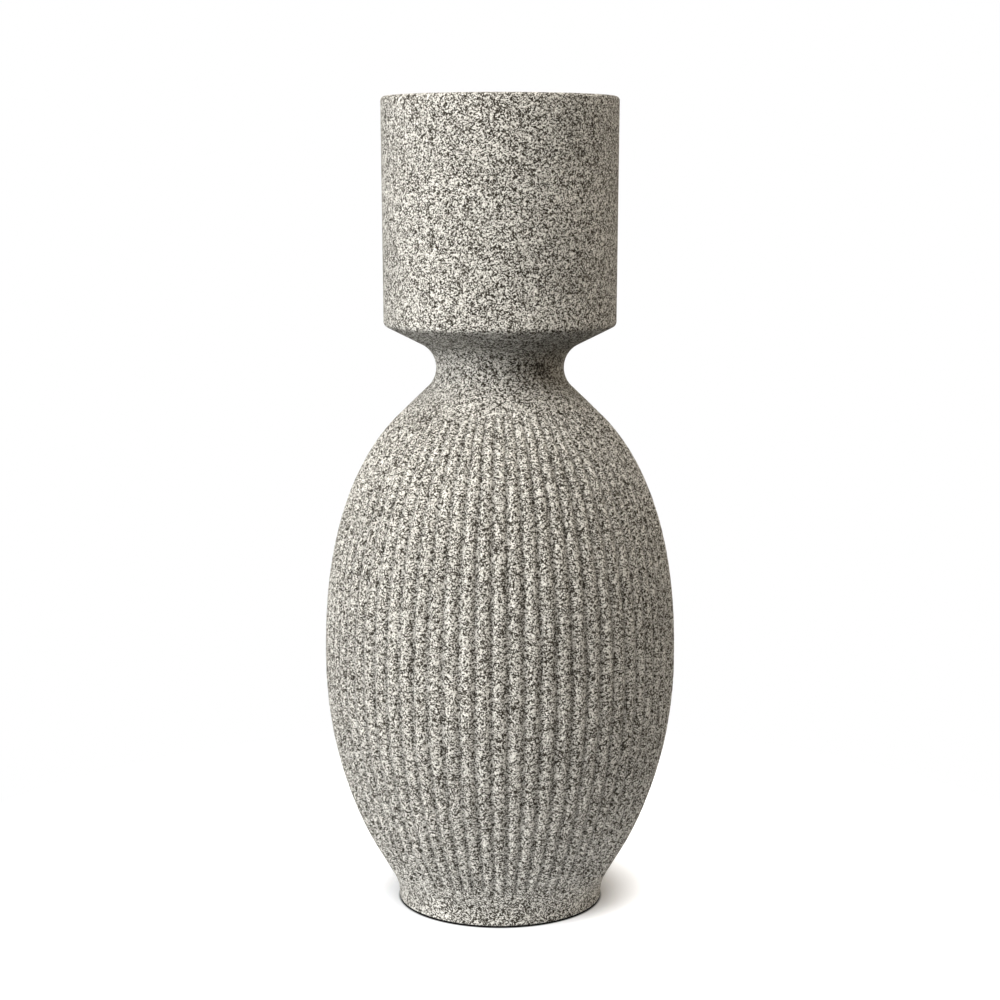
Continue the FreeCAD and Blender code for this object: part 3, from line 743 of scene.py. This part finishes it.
# %% Felt ring
FELT_WIDTH = 9
FELT_ROUND = 0.4
felt_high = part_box("felt_ring")[1]
felt_outside = felt_high.x / MM
felt_top = felt_high.z / MM
felt_edges = (
    arc((felt_outside - FELT_ROUND, FELT_ROUND), FELT_ROUND, -90, 0, steps=4)
    + arc((felt_outside - FELT_ROUND, felt_top - FELT_ROUND), FELT_ROUND, 0, 90, steps=4)
    + arc((felt_outside - FELT_WIDTH + FELT_ROUND, felt_top - FELT_ROUND), FELT_ROUND, 90, 180, steps=4)
    + arc((felt_outside - FELT_WIDTH + FELT_ROUND, FELT_ROUND), FELT_ROUND, 180, 270, steps=4))
felt_ring = turned("felt_ring_pressed", plain(felt_edges))
fit_into_frame(felt_ring, "felt", "felt_ring")

# %% Give every piece its finish
for piece in (foot_ring, neck_collar, drum_floor, drum_wall, drum_coil):
    piece.data.materials.append(glaze)
felt_ring.data.materials.append(felt)
for node in ("base_slab", "foot_coil", "belly_coil"):
    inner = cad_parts[node]
    inner.data.materials.clear()
    inner.data.materials.append(clay)
    print(node, "stays as it is, in", clay.name)

# %% [markdown]
# ## Studio
#
# The vase stands on a round white board of half a metre that fades out beyond its edge. Close under the
# edge of the foot, where hardly any light gets in, the board's colour is painted dark, a painted contact
# shadow that shows as a thin line. A big soft light shines from the left, low and a little in front, another
# one from above and in front, and a weak one brightens the right edge from behind. The surround adds a
# little warm light everywhere.
#
# The background is pure white. So the camera sees the floor glow more and more with the distance from the
# vase, which leaves just the soft shadow at the foot, and the surround is white for the camera and for
# reflections. All that the vase gets from it is the glaze's faint sheen.

# %% Floor
FLOOR_HALF = 4
BOARD_RADIUS = 0.25
BOARD_END = 0.5
BOARD_WHITE = 0.85
PAINTED_SHADOW_START = 0.0762
PAINTED_SHADOW_END = 0.0779
BOARD_COLOUR = "F5F9FF"
GLOW_START = 0.0745
GLOW_END = 0.138
floor_mesh = bpy.data.meshes.new("floor")
floor_corners = [(-FLOOR_HALF, -FLOOR_HALF, 0), (FLOOR_HALF, -FLOOR_HALF, 0),
                 (FLOOR_HALF, FLOOR_HALF, 0), (-FLOOR_HALF, FLOOR_HALF, 0)]
floor_mesh.from_pydata(floor_corners, [], [(0, 1, 2, 3)])
floor = bpy.data.objects.new("floor", floor_mesh)
bpy.context.scene.collection.objects.link(floor)
white_paint = bpy.data.materials.new("white_studio_floor")
white_paint.use_nodes = True
boards = white_paint.node_tree
boards.nodes.clear()
seen = add_node(boards, "ShaderNodeLightPath").outputs
spot_on_floor = add_node(boards, "ShaderNodeTexCoord").outputs["Object"]
from_vase = add_node(boards, "ShaderNodeVectorMath", {0: spot_on_floor},
                     operation="LENGTH").outputs["Value"]
whiteness = spread(boards, from_vase, BOARD_RADIUS, BOARD_END, BOARD_WHITE, 0)
# Painted contact shadow: the board's colour is black under the foot and comes back within 2 mm outside its
# edge.
painted_contact_shadow = spread(boards, from_vase, PAINTED_SHADOW_START, PAINTED_SHADOW_END)
whiteness = maths(boards, "MULTIPLY", whiteness, painted_contact_shadow)
paint_colour = add_node(boards, "ShaderNodeVectorMath", {0: linear(BOARD_COLOUR)[:3], "Scale": whiteness},
                        operation="SCALE").outputs[0]
matt = add_node(boards, "ShaderNodeBsdfDiffuse", {"Color": paint_colour})
lift = spread(boards, from_vase, GLOW_START, GLOW_END)
glow_for_camera = maths(boards, "MULTIPLY", seen["Is Camera Ray"], lift)
glow = add_node(boards, "ShaderNodeEmission", {"Color": linear("FFFFFF"), "Strength": glow_for_camera})
both = add_node(boards, "ShaderNodeAddShader", {0: matt.outputs[0], 1: glow.outputs[0]})
add_node(boards, "ShaderNodeOutputMaterial", {0: both.outputs[0]})
floor_mesh.materials.append(white_paint)

# %% Surround
BRIGHTNESS = 2.012
SURROUND_LIGHT = 0.16
SURROUND_TINT = "FFE8C8"
world = bpy.data.worlds.new("studio")
world.use_nodes = True
bpy.context.scene.world = world
air = world.node_tree
air.nodes.clear()
seen = add_node(air, "ShaderNodeLightPath").outputs
direct = maths(air, "MAXIMUM", seen["Is Camera Ray"], seen["Is Glossy Ray"])
direct = maths(air, "MAXIMUM", direct, seen["Is Transmission Ray"])
strength = spread(air, direct, 0, 1, SURROUND_LIGHT * BRIGHTNESS, 1)
tint = add_node(air, "ShaderNodeMix", {"Factor": direct, 6: linear(SURROUND_TINT), 7: linear("FFFFFF")},
                data_type="RGBA").outputs[2]
sky = add_node(air, "ShaderNodeBackground", {"Color": tint, "Strength": strength})
add_node(air, "ShaderNodeOutputWorld", {0: sky.outputs[0]})

# %% Soft lights
LAMP_DISTANCE = 2.4
LAMP_SIZE = 1.8
LAMP_AIM = Vector((0, 0, 0.32))


def soft_light(name, azimuth, elevation, watts, tint):
    """A square lamp that looks at the middle of the vase. Azimuth 0 is the camera's side, + to the right."""
    turn, rise = math.radians(azimuth), math.radians(elevation)
    way = Vector((math.sin(turn) * math.cos(rise), -math.cos(turn) * math.cos(rise), math.sin(rise)))
    lamp = bpy.data.objects.new(name, bpy.data.lights.new(name, "AREA"))
    lamp.data.size = LAMP_SIZE
    lamp.data.energy = watts * BRIGHTNESS
    lamp.data.color = linear(tint)[:3]
    lamp.location = LAMP_AIM + way * LAMP_DISTANCE
    lamp.rotation_euler = way.to_track_quat("Z", "Y").to_euler()
    lamp.visible_camera = False
    bpy.context.scene.collection.objects.link(lamp)
    return lamp


soft_light("key", azimuth=-60, elevation=16, watts=47, tint="FFFFFF")
soft_light("top", azimuth=0, elevation=60, watts=35, tint="FFFBF6")
soft_light("edge", azimuth=120, elevation=5, watts=13, tint="FFF3E4")

# %% View
bpy.context.scene.view_settings.view_transform = "Standard"
